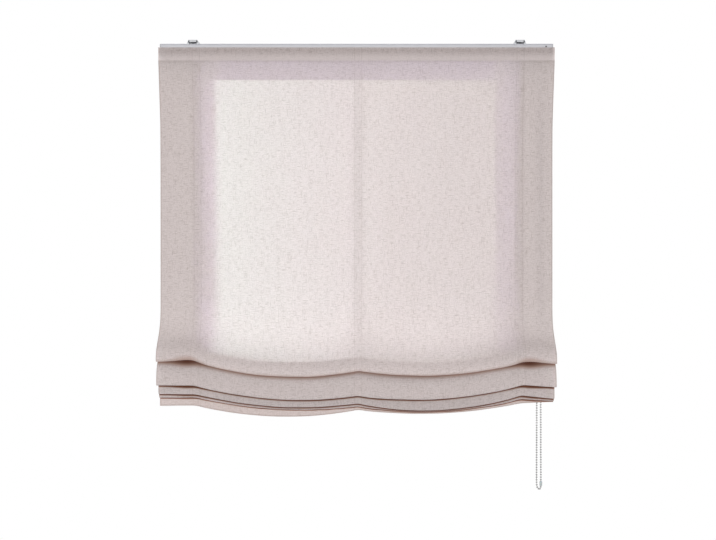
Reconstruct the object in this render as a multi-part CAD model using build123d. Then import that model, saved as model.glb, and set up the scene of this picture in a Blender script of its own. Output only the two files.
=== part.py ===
from build123d import *
from math import atan2, ceil, cos, degrees, hypot, pi, radians, sin, tan
import os

# Roman blind hung under a ceiling and raised part of the way. Millimetres.
# The origin is on the ceiling, midway between the brackets' screws.
# +X runs to the right as seen from the room, +Z is up and the room lies towards -Y.

# Headrail: an extruded channel, open below, with a gripping flange along its top
RAIL_LENGTH = 934.0
RAIL_DEPTH = 44.0
RAIL_HEIGHT = 39.0
RAIL_WALL = 1.4
FLANGE_THICK = 1.6
GROOVE_HEIGHT = 1.6
GROOVE_DEPTH = 2.0
LIP_WIDTH = 6.0
LIP_RISE = 2.0
CAP_THICK = 2.0
CAP_CORNER = 1.5
CAP_PLUG_LENGTH = 6.0
CAP_PLUG_WALL = 1.5

# Ceiling brackets: a pressed bridge with front hooks and a latch behind
BRACKET_END_INSET = 77.0
BRACKET_RISE = 9.0
BRACKET_TOP_WIDTH = 22.0
BRACKET_FOOT_WIDTH = 28.0
BRACKET_SHEET = 1.2
BRACKET_REAR = 3.4
SCREW_HOLE_RADIUS = 2.2
SCREW_HOLE_SPACING = 18.0
HOOK_WIDTH = 5.0
HOOK_ROOT = 2.5
HOOK_REACH = 1.6
LATCH_PIN_RADIUS = 1.2
LATCH_PIN_DROP = 4.6
LATCH_PIN_INSET = 0.5
LATCH_PIN_STICKOUT = 0.6
LATCH_BARREL_RADIUS = 2.6
LATCH_WIDTH = 19.0
LATCH_SHEET = 1.4
LATCH_TAB_LENGTH = 8.0
LATCH_TAB_TILT = 36.0

# Lift line: a square shaft carrying three cord spools and the chain's sprocket
SHAFT_SIDE = 5.0
SHAFT_OVERHANG = 3.0
JOURNAL_RADIUS = 5.0
JOURNAL_LENGTH = 3.4
SPOOL_RADIUS = 9.6
SPOOL_CORE_LENGTH = 23.0
SPOOL_FLANGE_HEIGHT = 2.9
SPOOL_FLANGE_THICK = 1.6
SPOOL_FLOOR_GAP = 0.9
SPOOL_SIDES = 16
CORD_TO_FLANGE = 3.0
CORD_TURNS = 12
CRADLE_WALL = 2.6
CRADLE_FLOOR = 1.6
CRADLE_CHEEK_HALF = 9.0
CORD_EYE_WIDTH = 4.4

# Chain drive at the rail's right end
DRIVE_END_INSET = 29.0
BEAD_PITCH = 6.0
BEAD_RADIUS = 2.25
THREAD_RADIUS = 1.66
SPROCKET_BEAD_COUNT = 12
CHAIN_REAR_GAP = 2.89
SPROCKET_FLANGE_THICK = 1.5
SPROCKET_GROOVE_WIDTH = 7.0
SPROCKET_FLANGE_RADIUS = 12.6
SPROCKET_RIM_SIDES = 24
DRIVE_WALL = 3.0
DRIVE_BLOCK_LENGTH = 25.3
DRIVE_BORE_DEPTH = 4.0
DRIVE_SCREW_RADIUS = 1.2
DRIVE_SCREW_HEAD_RADIUS = 1.7
DRIVE_SCREW_HEAD_THICK = 1.0
DRIVE_SCREW_LENGTH = 7.0
DRIVE_SCREW_END_INSET = 17.0
DRIVE_SCREW_DROP = 6.6
DRIVE_SCREW_SIDES = 8

# Bead chain: an endless loop that hangs behind the cloth
CHAIN_DROP = 1046.0
CHAIN_FOOT_RADIUS = 9.0
CHAIN_FOOT_TURN = 22.0
CHAIN_SIDES = 4
CHAIN_WRAP_STEPS = 9
CHAIN_FOOT_STEPS = 10
CHAIN_OPEN_DROP = 848.0
CONNECTOR_RADIUS = 3.3
CONNECTOR_LENGTH = 12.0
CONNECTOR_SIDES = 8

# Cloth: one sheet that hangs from the rail's front and gathers in swags between three tapes
CLOTH_OVERHANG = 4.0
CLOTH_THICK = 0.6
CLOTH_TOP_DROP = 9.5
HEADER_FOOT_DROP = 2.9
PANEL_RUN_IN = 180.0
TAPE_END_INSET = 81.0
TAPE_SHIFT = 4.0
TAPE_WIDTH = 20.0
TAPE_THICK = 0.3
STRIP_THICK = 1.2
STRIP_EDGE_INSET = 2.7
STRIP_END_INSET = 4.0
TOP_RING_DROP = 721.0
FOLD_REACH = 50.0
STACK_DROP = 142.0
SWAG_DEPTH = 25.0
CENTRE_DROP = 20.0
SWAG_STATIONS = 5
BEND_CHORD_TURN = 36.0

# Rings on the tapes, lift cords and cord stops
RING_RADIUS = 6.0
RING_HOLE_RADIUS = 4.0
RING_THICK = 1.6
RING_SIDES = 8
RING_SPACING = 200.0
PANEL_RINGS = 2
CORD_RADIUS = 0.7
CORD_SIDES = 6
STOP_RADIUS = 3.4
STOP_LENGTH = 10.0
STOP_CORD_DEPTH = 7.0
STOP_SIDES = 8

# Clearances
INSERT_GAP = 0.2
RUNNING_GAP = 0.08
SIDE_GAP = 0.3
STITCH_GAP = 0.05
CUT_OVERRUN = 5.0

# Section of the gathered cloth from the foot of the panel to the hem. Each point is
# (share of the fold reach in front of the panel, share of the stack's drop below the top ring,
# share of the shorter run beside it that its rounding takes).
FOLD_SHARES = (
    (0.000, -0.460, 0.42),
    (0.310, -0.225, 0.42),
    (0.940, 0.040, 0.42),
    (1.000, 0.232, 0.42),
    (0.770, 0.232, 0.42),
    (0.036, 0.000, 0.0),
    (0.004, 0.000, 0.0),
    (0.480, 0.260, 0.42),
    (0.830, 0.486, 0.42),
    (0.885, 0.634, 0.42),
    (0.690, 0.634, 0.42),
    (0.385, 0.260, 0.0),
    (0.036, 0.070, 0.0),
    (0.004, 0.070, 0.0),
    (0.270, 0.232, 0.0),
    (0.430, 0.697, 0.42),
    (0.450, 0.796, 0.42),
    (0.335, 0.796, 0.42),
    (0.225, 0.275, 0.0),
    (0.036, 0.140, 0.0),
    (0.004, 0.140, 0.0),
    (0.180, 0.289, 0.0),
    (0.300, 0.859, 0.42),
    (0.213, 0.859, 0.42),
    (0.095, 0.373, 0.0),
    (0.036, 0.211, 0.0),
    (0.004, 0.211, 0.0),
    (0.050, 0.408, 0.0),
    (0.135, 1.000, 0.0),
)
APEX_DROP_SHARES = (0.0, 0.070, 0.140, 0.211)
HEADER_FOOT_ROUND_SHARE = 0.06
PANEL_ROUND_SHARE = 0.42

# Places that follow from the sizes above
rail_half = RAIL_DEPTH / 2
rail_top = -BRACKET_RISE
rail_foot = rail_top - RAIL_HEIGHT
rail_end = RAIL_LENGTH / 2
neck_half = rail_half - GROOVE_DEPTH
inside_half = rail_half - RAIL_WALL
groove_top = rail_top - FLANGE_THICK
groove_foot = groove_top - GROOVE_HEIGHT
inside_top = groove_foot - RAIL_WALL
lip_top = rail_foot + LIP_RISE
insert_half = inside_half - INSERT_GAP
insert_top = inside_top - INSERT_GAP
floor_top = lip_top + CRADLE_FLOOR
spool_flange_radius = SPOOL_RADIUS + SPOOL_FLANGE_HEIGHT
pitch_radius = SPROCKET_BEAD_COUNT * BEAD_PITCH / (2 * pi)
shaft_y = inside_half - CHAIN_REAR_GAP - BEAD_RADIUS - pitch_radius
shaft_z = floor_top + SPOOL_FLOOR_GAP + spool_flange_radius
sprocket_x = rail_end + CAP_THICK - DRIVE_END_INSET
ring_y = shaft_y - SPOOL_RADIUS - CORD_RADIUS
cloth_y = -rail_half - 2 * STRIP_THICK - CLOTH_THICK / 2
panel_y = ring_y - RING_RADIUS - STITCH_GAP - TAPE_THICK - STITCH_GAP - CLOTH_THICK / 2
cloth_top = rail_top - CLOTH_TOP_DROP
header_foot = rail_foot - HEADER_FOOT_DROP
top_ring_z = rail_top - TOP_RING_DROP
tape_spacing = rail_end - TAPE_END_INSET
tape_places = [TAPE_SHIFT - tape_spacing, TAPE_SHIFT, TAPE_SHIFT + tape_spacing]
tape_drops = [0, CENTRE_DROP, 0]
sides = ["left", "centre", "right"]


def along_x(sketch, start, end):
    """A sketch drawn in Y and Z, extruded between two places along the blind."""
    return extrude(Plane.YZ.offset(start) * sketch, amount=end - start)


def rectangle(y_low, y_high, z_low, z_high):
    return Pos((y_low + y_high) / 2, (z_low + z_high) / 2) * Rectangle(y_high - y_low, z_high - z_low)


def at_shaft(sketch):
    return Pos(shaft_y, shaft_z) * sketch


def run_heading(start, end):
    run = hypot(end[0] - start[0], end[1] - start[1])
    return (end[0] - start[0]) / run, (end[1] - start[1]) / run, run


def rounded(section):
    """The points of a section with each corner that has a round share bent in even chords."""
    line = [section[0][:2]]
    for before, corner, after in zip(section, section[1:], section[2:]):
        come = run_heading(before, corner)
        go = run_heading(corner, after)
        turn = atan2(come[0] * go[1] - come[1] * go[0], come[0] * go[0] + come[1] * go[1])
        setback = corner[2] * min(come[2], go[2])
        chords = ceil(abs(degrees(turn)) / BEND_CHORD_TURN) if setback else 0
        bend = setback / tan(turn / 2)
        start = atan2(come[1], come[0])
        place = (corner[0] - come[0] * setback, corner[1] - come[1] * setback)
        line.append(place)
        for chord in range(chords):
            middle = start + turn * (chord + 1 / 2) / chords
            step = 2 * bend * sin(turn / chords / 2)
            place = (place[0] + step * cos(middle), place[1] + step * sin(middle))
            line.append(place)
    line.append(section[-1][:2])
    return line


def side_line(line, gap):
    """The points beside a line of points, at a distance from it towards its back."""
    headings = [run_heading(start, end) for start, end in zip(line, line[1:])]
    beside = []
    for place, come, go in zip(line, headings[:1] + headings, headings + headings[-1:]):
        mitre = gap / (1 + come[0] * go[0] + come[1] * go[1])
        beside.append((place[0] - (come[1] + go[1]) * mitre, place[1] + (come[0] + go[0]) * mitre))
    return beside


def layer(line, near, far):
    """The closed outline of a thin layer that follows a line between two distances from it."""
    return make_face(Polyline(*side_line(line, near), *reversed(side_line(line, far)), close=True))


def cloth_line(sag):
    """The cloth's line from its top edge to its hem, where the gathered part hangs lower by a sag."""
    header = [
        (cloth_y, cloth_top, 0),
        (cloth_y, header_foot, HEADER_FOOT_ROUND_SHARE),
        (panel_y, header_foot - PANEL_RUN_IN, PANEL_ROUND_SHARE),
    ]
    folds = [
        (panel_y - FOLD_REACH * reach, top_ring_z - sag - STACK_DROP * drop, share)
        for reach, drop, share in FOLD_SHARES
    ]
    return rounded(header + folds)


def cloth_outline(place, sag):
    return Plane.YZ.offset(place) * layer(cloth_line(sag), -CLOTH_THICK / 2, CLOTH_THICK / 2)


# Headrail
half_profile = [
    (0, rail_top),
    (rail_half, rail_top),
    (rail_half, groove_top),
    (neck_half, groove_top),
    (neck_half, groove_foot),
    (rail_half, groove_foot),
    (rail_half, rail_foot),
    (rail_half - LIP_WIDTH, rail_foot),
    (rail_half - LIP_WIDTH, lip_top),
    (rail_half - LIP_WIDTH + RAIL_WALL, lip_top),
    (rail_half - LIP_WIDTH + RAIL_WALL, rail_foot + RAIL_WALL),
    (inside_half, rail_foot + RAIL_WALL),
    (inside_half, inside_top),
    (neck_half - RAIL_WALL, inside_top),
    (neck_half - RAIL_WALL, groove_top),
    (0, groove_top),
]
half_section = make_face(Polyline(*half_profile, close=True))
rail_section = half_section + mirror(half_section, Plane.YZ)
rail = along_x(rail_section, -rail_end, rail_end)

# The lips are milled away under the chain drive, and its screw passes the front wall
drive_cover_end = sprocket_x - SPROCKET_GROOVE_WIDTH / 2 - SPROCKET_FLANGE_THICK - SIDE_GAP
drive_start = drive_cover_end - DRIVE_WALL
lip_cut = rectangle(-inside_half, inside_half, rail_foot - CUT_OVERRUN, lip_top)
rail -= along_x(lip_cut, drive_start - SIDE_GAP, rail_end + CUT_OVERRUN)
drive_screw_x = rail_end + CAP_THICK - DRIVE_SCREW_END_INSET
drive_screw_z = rail_top - DRIVE_SCREW_DROP
screw_plane = Plane(origin=(drive_screw_x, -rail_half, drive_screw_z), z_dir=(0, 1, 0))
screw_bore = extrude(screw_plane * Circle(DRIVE_SCREW_RADIUS + RUNNING_GAP), amount=DRIVE_SCREW_LENGTH)
rail -= screw_bore

# End caps with a hollow plug
cap_middle = (rail_top + rail_foot) / 2
cap_face = Pos(0, cap_middle) * RectangleRounded(RAIL_DEPTH, RAIL_HEIGHT, CAP_CORNER)
plug_face = rectangle(-insert_half, insert_half, lip_top + INSERT_GAP, insert_top)
plug_hollow = offset(plug_face, amount=-CAP_PLUG_WALL)
end_cap_right = along_x(cap_face, rail_end, rail_end + CAP_THICK)
end_cap_right += along_x(plug_face - plug_hollow, rail_end - CAP_PLUG_LENGTH, rail_end)
end_cap_left = mirror(end_cap_right, Plane.YZ)

# Ceiling bracket, drawn about the middle of the blind and then put in its two places
top_half = BRACKET_TOP_WIDTH / 2
foot_half = BRACKET_FOOT_WIDTH / 2
leg_slant = (foot_half - top_half) / BRACKET_RISE
leg_width = BRACKET_SHEET * hypot(1, leg_slant)
bridge_outside = make_face(
    Polyline(
        (-foot_half, -BRACKET_RISE),
        (-top_half, 0),
        (top_half, 0),
        (foot_half, -BRACKET_RISE),
        close=True,
    )
)
inner_top = top_half + leg_slant * BRACKET_SHEET - leg_width
inner_foot = foot_half - leg_width
bridge_inside = make_face(
    Polyline(
        (-inner_foot, -BRACKET_RISE),
        (-inner_top, -BRACKET_SHEET),
        (inner_top, -BRACKET_SHEET),
        (inner_foot, -BRACKET_RISE),
        close=True,
    )
)
hook_face = -rail_half - INSERT_GAP
bracket_front = hook_face - BRACKET_SHEET
bracket_rear = rail_half + BRACKET_REAR
bridge_plane = Plane(origin=(0, bracket_rear, 0), x_dir=(1, 0, 0), z_dir=(0, -1, 0))
bracket = extrude(bridge_plane * (bridge_outside - bridge_inside), amount=bracket_rear - bracket_front)
hook_top = groove_top - INSERT_GAP
hook_foot = groove_foot + INSERT_GAP
hook_section = rectangle(bracket_front, hook_face, hook_foot, rail_top + HOOK_ROOT)
hook_section += rectangle(bracket_front, -rail_half + HOOK_REACH, hook_foot, hook_top)
hook = along_x(hook_section, foot_half - HOOK_WIDTH, foot_half)
bracket += [hook, mirror(hook, Plane.YZ)]
for hole_y in (-SCREW_HOLE_SPACING / 2, SCREW_HOLE_SPACING / 2):
    bracket -= extrude(Pos(0, hole_y, 0) * Circle(SCREW_HOLE_RADIUS), amount=-BRACKET_SHEET)

# Latch behind the rail, on a pin across the bridge's legs
pin_y = rail_half - LATCH_PIN_INSET
pin_z = -LATCH_PIN_DROP
pin_spot = Pos(pin_y, pin_z)
pin_half = top_half + leg_slant * LATCH_PIN_DROP + LATCH_PIN_STICKOUT
bracket -= along_x(pin_spot * Circle(LATCH_PIN_RADIUS + RUNNING_GAP), -foot_half, foot_half)
latch_pin = along_x(pin_spot * Circle(LATCH_PIN_RADIUS), -pin_half, pin_half)
latch_face = pin_y + LATCH_BARREL_RADIUS - LATCH_SHEET
latch_section = pin_spot * Circle(LATCH_BARREL_RADIUS)
latch_section += rectangle(latch_face, latch_face + LATCH_SHEET, hook_foot, pin_z)
latch_section += rectangle(rail_half - HOOK_REACH, latch_face + LATCH_SHEET, hook_foot, hook_top)
tab = Pos(LATCH_TAB_LENGTH / 2, LATCH_SHEET / 2) * Rectangle(LATCH_TAB_LENGTH, LATCH_SHEET)
latch_section += Pos(latch_face, hook_foot) * Rot(0, 0, -LATCH_TAB_TILT) * tab
latch_section -= pin_spot * Circle(LATCH_PIN_RADIUS + RUNNING_GAP)
latch = along_x(latch_section, -LATCH_WIDTH / 2, LATCH_WIDTH / 2)

bracket_right_spot = Pos(rail_end - BRACKET_END_INSET, 0, 0)
bracket_left_spot = Pos(BRACKET_END_INSET - rail_end, 0, 0)

# Hook strip on the rail and loop strip on the cloth
strip_half = rail_end - STRIP_END_INSET
strip_top = cloth_top - STRIP_EDGE_INSET
strip_foot = header_foot + STRIP_EDGE_INSET
hook_strip = along_x(
    rectangle(-rail_half - STRIP_THICK, -rail_half, strip_foot, strip_top), -strip_half, strip_half
)
loop_strip = Pos(0, -STRIP_THICK, 0) * hook_strip

# Lift line
shaft_bore = Rectangle(SHAFT_SIDE + INSERT_GAP, SHAFT_SIDE + INSERT_GAP)
spools = []
cradles = []
cord_wraps = []
for place in tape_places:
    core_end = place + CORD_TO_FLANGE
    core_start = core_end - SPOOL_CORE_LENGTH
    flange_start = core_start - SPOOL_FLANGE_THICK
    flange_end = core_end + SPOOL_FLANGE_THICK
    spool = along_x(at_shaft(RegularPolygon(SPOOL_RADIUS, SPOOL_SIDES)), flange_start, flange_end)
    flange = at_shaft(RegularPolygon(spool_flange_radius, SPOOL_SIDES))
    spool += along_x(flange, flange_start, core_start)
    spool += along_x(flange, core_end, flange_end)
    journal_start = flange_start - JOURNAL_LENGTH
    journal_end = flange_end + JOURNAL_LENGTH
    spool += along_x(at_shaft(Circle(JOURNAL_RADIUS)), journal_start, journal_end)
    spool -= along_x(at_shaft(shaft_bore), journal_start, journal_end)
    spools.append(spool)

    wrap_end = place - CORD_RADIUS - INSERT_GAP
    wrap_start = wrap_end - CORD_TURNS * 2 * CORD_RADIUS
    wrap_inside = SPOOL_RADIUS + STITCH_GAP
    wrap_ring = RegularPolygon(wrap_inside + 2 * CORD_RADIUS, SPOOL_SIDES)
    wrap_ring -= RegularPolygon(wrap_inside, SPOOL_SIDES)
    cord_wraps.append(along_x(at_shaft(wrap_ring), wrap_start, wrap_end))

    cheek = rectangle(
        shaft_y - CRADLE_CHEEK_HALF, shaft_y + CRADLE_CHEEK_HALF, lip_top, shaft_z + CRADLE_CHEEK_HALF
    )
    cheek += rectangle(-insert_half, insert_half, lip_top, floor_top)
    saddle_half = JOURNAL_RADIUS + RUNNING_GAP
    cheek -= at_shaft(Circle(saddle_half))
    cheek -= rectangle(shaft_y - saddle_half, shaft_y + saddle_half, shaft_z, shaft_z + CRADLE_CHEEK_HALF)
    cheek_start = flange_start - SIDE_GAP
    cheek_end = flange_end + SIDE_GAP
    cradle = along_x(cheek, cheek_start - CRADLE_WALL, cheek_start)
    cradle += along_x(cheek, cheek_end, cheek_end + CRADLE_WALL)
    cradle += along_x(rectangle(-insert_half, insert_half, lip_top, floor_top), cheek_start, cheek_end)
    cord_eye = Pos(place, ring_y, lip_top) * Rectangle(CORD_EYE_WIDTH, CORD_EYE_WIDTH)
    cradle -= extrude(cord_eye, amount=CRADLE_FLOOR)
    cradles.append(cradle)

sprocket_half = SPROCKET_GROOVE_WIDTH / 2 + SPROCKET_FLANGE_THICK
groove_half = SPROCKET_GROOVE_WIDTH / 2
groove_radius = pitch_radius - BEAD_RADIUS - SIDE_GAP
journal_half = sprocket_half + SIDE_GAP + JOURNAL_LENGTH
bead_drum = RegularPolygon(groove_radius, SPROCKET_BEAD_COUNT)
sprocket = along_x(at_shaft(bead_drum), sprocket_x - groove_half, sprocket_x + groove_half)
for inner, outer in ((-groove_half, -sprocket_half), (groove_half, sprocket_half)):
    rim = at_shaft(RegularPolygon(SPROCKET_FLANGE_RADIUS, SPROCKET_RIM_SIDES))
    sprocket += along_x(rim, sprocket_x + inner, sprocket_x + outer)
sprocket += along_x(at_shaft(Circle(JOURNAL_RADIUS)), sprocket_x - journal_half, sprocket_x + journal_half)
sprocket -= along_x(at_shaft(shaft_bore), sprocket_x - journal_half, sprocket_x + journal_half)

shaft_start = tape_places[0] + CORD_TO_FLANGE - SPOOL_CORE_LENGTH - SPOOL_FLANGE_THICK
shaft_start -= JOURNAL_LENGTH + SHAFT_OVERHANG
drive_shaft = along_x(
    at_shaft(Rectangle(SHAFT_SIDE, SHAFT_SIDE)), shaft_start, sprocket_x + journal_half
)

# Chain drive: a block that the rail holds, its sprocket chamber open below, and a cover
block_end = drive_cover_end + DRIVE_BLOCK_LENGTH
chamber_radius = pitch_radius + BEAD_RADIUS + 2 * SIDE_GAP
chamber_end = sprocket_x + sprocket_half + SIDE_GAP
drive_face = rectangle(-insert_half, insert_half, lip_top, insert_top)
chamber = at_shaft(Circle(chamber_radius))
chamber += rectangle(shaft_y - chamber_radius, shaft_y + chamber_radius, lip_top - CUT_OVERRUN, shaft_z)
bearing = at_shaft(Circle(JOURNAL_RADIUS + RUNNING_GAP))
drive_housing = along_x(drive_face, drive_cover_end, block_end)
drive_housing -= along_x(chamber, drive_cover_end, chamber_end)
drive_housing -= along_x(bearing, chamber_end, chamber_end + DRIVE_BORE_DEPTH)
drive_housing -= screw_bore
drive_cover = along_x(drive_face - bearing, drive_start, drive_cover_end)
screw_shank = screw_plane * RegularPolygon(DRIVE_SCREW_RADIUS, DRIVE_SCREW_SIDES)
drive_screw = extrude(screw_shank, amount=DRIVE_SCREW_LENGTH)
screw_head = screw_plane * RegularPolygon(DRIVE_SCREW_HEAD_RADIUS, DRIVE_SCREW_SIDES)
drive_screw += extrude(screw_head, amount=-DRIVE_SCREW_HEAD_THICK)

# Cloth: level bands at the edges and tapes, with a parabolic swag between each pair of tapes
band_half = TAPE_WIDTH / 2 + CLOTH_THICK
cloth_half = rail_end + CLOTH_OVERHANG


def swag_outlines(start, end, start_drop, end_drop):
    """Sections of the cloth between two tapes, which hang along a parabola."""
    outlines = []
    for station in range(SWAG_STATIONS + 1):
        share = station / SWAG_STATIONS
        sag = start_drop + (end_drop - start_drop) * share + 4 * SWAG_DEPTH * share * (1 - share)
        outlines.append(cloth_outline(start + (end - start) * share, sag))
    return outlines


left_tape, centre_tape, right_tape = tape_places
cloth_outlines = [cloth_outline(-cloth_half, 0)]
cloth_outlines += swag_outlines(left_tape + band_half, centre_tape - band_half, 0, CENTRE_DROP)
cloth_outlines += swag_outlines(centre_tape + band_half, right_tape - band_half, CENTRE_DROP, 0)
cloth_outlines += [cloth_outline(cloth_half, 0)]
cloth = loft(cloth_outlines, ruled=True)

# Tapes sewn down the cloth's back from under its header, following it through every fold
tape_near = CLOTH_THICK / 2 + STITCH_GAP
tapes = []
for place, drop in zip(tape_places, tape_drops):
    tape_line = [spot for spot in cloth_line(drop) if spot[1] < header_foot]
    tape_face = layer(tape_line, tape_near, tape_near + TAPE_THICK)
    tapes.append(along_x(tape_face, place - TAPE_WIDTH / 2, place + TAPE_WIDTH / 2))

# Rings: evenly spaced down the panel, then stacked where the folds are drawn up
ring_face = RegularPolygon(RING_RADIUS, RING_SIDES) - RegularPolygon(RING_HOLE_RADIUS, RING_SIDES)
ring = extrude(ring_face, amount=-RING_THICK)
rings = []
for place, drop in zip(tape_places, tape_drops):
    for count in range(1, PANEL_RINGS + 1):
        rings.append(Pos(place, ring_y, top_ring_z - drop + count * RING_SPACING) * ring)
    for share in APEX_DROP_SHARES:
        rings.append(Pos(place, ring_y, top_ring_z - drop - share * STACK_DROP) * ring)

# Lift cords from the spools' fronts down through the rings, and the stops below
lift_cords = []
cord_stops = []
for place, drop in zip(tape_places, tape_drops):
    stop_top = top_ring_z - drop - APEX_DROP_SHARES[-1] * STACK_DROP - RING_THICK - STITCH_GAP
    cord_foot = stop_top - STOP_CORD_DEPTH
    cord_face = Pos(place, ring_y, cord_foot) * RegularPolygon(CORD_RADIUS, CORD_SIDES)
    lift_cords.append(extrude(cord_face, amount=shaft_z - cord_foot))
    stop_face = Pos(place, ring_y, stop_top) * RegularPolygon(STOP_RADIUS, STOP_SIDES)
    stop = extrude(stop_face, amount=-STOP_LENGTH)
    stop = chamfer(stop.edges().group_by(Axis.Z)[0], STOP_RADIUS / 2)
    stop_bore = Pos(place, ring_y, stop_top) * RegularPolygon(CORD_RADIUS + STITCH_GAP, CORD_SIDES)
    stop -= extrude(stop_bore, amount=-STOP_CORD_DEPTH)
    cord_stops.append(stop)

# Bead chain: over the sprocket, down in front, round the foot of the loop and up behind
chain_foot_z = shaft_z - CHAIN_DROP + CHAIN_FOOT_RADIUS
strand_height = shaft_z - chain_foot_z
strand_count = round((CHAIN_DROP - CHAIN_OPEN_DROP) / BEAD_PITCH)
foot_turn = radians(CHAIN_FOOT_TURN)


def loop_place(across, turn):
    """A place on the chain's loop, whose two strands turn about its middle towards the foot."""
    return Vector(sprocket_x - across * sin(turn), shaft_y + across * cos(turn), 0)


def chain_section(place, heading, radius):
    flat = Plane(origin=place, x_dir=(1, 0, 0), z_dir=heading)
    return flat * RegularPolygon(radius, CHAIN_SIDES)


def strand(front, height_share):
    """A place on the front (-1) or rear (1) strand, a share of the way down it."""
    across = front * (pitch_radius + (CHAIN_FOOT_RADIUS - pitch_radius) * height_share)
    place = loop_place(across, foot_turn * height_share)
    return Vector(place.X, place.Y, shaft_z - strand_height * height_share)


open_share = CHAIN_OPEN_DROP / strand_height
half_pitches = 2 * strand_count
bead_shares = [open_share + (1 - open_share) * step / half_pitches for step in range(half_pitches + 1)]
down = Vector(0, 0, -1)
up = Vector(0, 0, 1)
gap_share = (SIDE_GAP / 2) / strand_height
connector_share = 1 - (CONNECTOR_LENGTH / 2) / strand_height
chain_sections = []
# Rear strand from the loop's foot to the sprocket
for step, share in reversed(list(enumerate(bead_shares))):
    size = THREAD_RADIUS if step % 2 else BEAD_RADIUS
    chain_sections.append(chain_section(strand(1, share), up, size))
# Over the sprocket
for step in range(CHAIN_WRAP_STEPS + 1):
    angle = pi * step / CHAIN_WRAP_STEPS
    place = Vector(sprocket_x, shaft_y + pitch_radius * cos(angle), shaft_z + pitch_radius * sin(angle))
    chain_sections.append(chain_section(place, Vector(0, -sin(angle), cos(angle)), BEAD_RADIUS))
# Front strand down to the connector
for step, share in enumerate(bead_shares):
    if share < connector_share - 2 * gap_share:
        size = THREAD_RADIUS if step % 2 else BEAD_RADIUS
        chain_sections.append(chain_section(strand(-1, share), down, size))
bead_chain = loft(chain_sections, ruled=True)
# Round the foot of the loop
foot_sections = []
for step in range(CHAIN_FOOT_STEPS + 1):
    angle = pi * step / CHAIN_FOOT_STEPS
    across = -CHAIN_FOOT_RADIUS * cos(angle)
    drop = CHAIN_FOOT_RADIUS * sin(angle)
    place = loop_place(across, foot_turn) + Vector(0, 0, chain_foot_z - drop)
    heading = loop_place(sin(angle), foot_turn) - loop_place(0, foot_turn) + Vector(0, 0, -cos(angle))
    size = THREAD_RADIUS if step % 2 else BEAD_RADIUS
    foot_sections.append(chain_section(place, heading, size))
bead_chain += loft(foot_sections, ruled=True)

connector_place = strand(-1, connector_share)
connector_face = RegularPolygon(CONNECTOR_RADIUS, CONNECTOR_SIDES)
connector_face -= RegularPolygon(BEAD_RADIUS + SIDE_GAP, CONNECTOR_SIDES)
connector = extrude(Pos(*connector_place) * connector_face, amount=CONNECTOR_LENGTH / 2, both=True)

os.makedirs("parts", exist_ok=True)
nodes = {
    "headrail": rail,
    "end_cap_left": end_cap_left,
    "end_cap_right": end_cap_right,
    "ceiling_brackets": [bracket_left_spot * bracket, bracket_right_spot * bracket],
    "latch_pins": [bracket_left_spot * latch_pin, bracket_right_spot * latch_pin],
    "latch_left": bracket_left_spot * latch,
    "latch_right": bracket_right_spot * latch,
    "hook_strip": hook_strip,
    "loop_strip": loop_strip,
    "drive_shaft": drive_shaft,
    "sprocket": sprocket,
    "drive_housing": drive_housing,
    "drive_cover": drive_cover,
    "drive_screw": drive_screw,
    "cloth": cloth,
    "rings": rings,
    "spools": spools,
    "cradles": cradles,
    "cord_wraps": cord_wraps,
    "cord_stops": cord_stops,
    "bead_chain": bead_chain,
    "chain_connector": connector,
}
for side, tape, cord in zip(sides, tapes, lift_cords):
    nodes["tape_" + side] = tape
    nodes["lift_cord_" + side] = cord
for name, shape in nodes.items():
    export_step(Compound(shape) if isinstance(shape, list) else shape, f"parts/{name}.step")
print(len(nodes), "pieces, panel at Y", panel_y, "shaft at", shaft_y, shaft_z)
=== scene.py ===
# %% [markdown]
# # A soft roman blind
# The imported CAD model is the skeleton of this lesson: rail, brackets, lift line, cloth and chain are already
# in their places, in metres. Each cell below takes one real piece or finish, says how it is made in life,
# and then builds it in Blender where the skeleton holds its place.

# %% Load the frame
from math import cos, pi, radians, sin

import bmesh
import bpy
import numpy as np
from mathutils import Matrix, Vector, noise


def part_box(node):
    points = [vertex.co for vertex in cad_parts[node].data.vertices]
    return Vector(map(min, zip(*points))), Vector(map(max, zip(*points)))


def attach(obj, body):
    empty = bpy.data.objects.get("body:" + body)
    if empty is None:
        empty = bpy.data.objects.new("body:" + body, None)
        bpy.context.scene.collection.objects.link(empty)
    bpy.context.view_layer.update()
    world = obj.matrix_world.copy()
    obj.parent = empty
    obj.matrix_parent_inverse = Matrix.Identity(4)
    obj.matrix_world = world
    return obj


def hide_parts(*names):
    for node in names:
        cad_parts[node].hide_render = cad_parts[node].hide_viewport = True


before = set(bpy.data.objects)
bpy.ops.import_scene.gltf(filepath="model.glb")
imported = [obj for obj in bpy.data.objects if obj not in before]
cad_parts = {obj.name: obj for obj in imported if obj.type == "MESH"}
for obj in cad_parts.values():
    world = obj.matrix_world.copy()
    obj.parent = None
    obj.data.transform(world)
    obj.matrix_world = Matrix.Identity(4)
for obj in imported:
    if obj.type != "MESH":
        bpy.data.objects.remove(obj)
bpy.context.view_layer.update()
scene = bpy.context.scene

# %% [markdown]
# ## Measures
# Several cells share these lengths. Most are those of the skeleton. Left and right are as seen from the
# front.

# %% Measures
cloth_width, tape_width, tape_start, stitch_inset = 0.942, 0.020, 0.036, 0.0085
tape_places = {"left": -0.382, "centre": 0.004, "right": 0.390}
tape_drops = {"left": 0.0, "centre": 0.020, "right": 0.0}
top_ring, cord_y = -0.730, -0.0063
fold_reach, stack_drop = 0.050, 0.142
ring_shares = (0.0, 0.070, 0.140, 0.211)
shaft_y, shaft_z = 0.0040, -0.0310
print("cloth", cloth_width, "m wide with tapes at", list(tape_places.values()))


# %% [markdown]
# ## Camera
# The blind was seen square on from the front. A level camera two metres in front of the header, with a field
# of view of about 46 degrees, shows it at the same size and with the same spread of the nearer folds.


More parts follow.
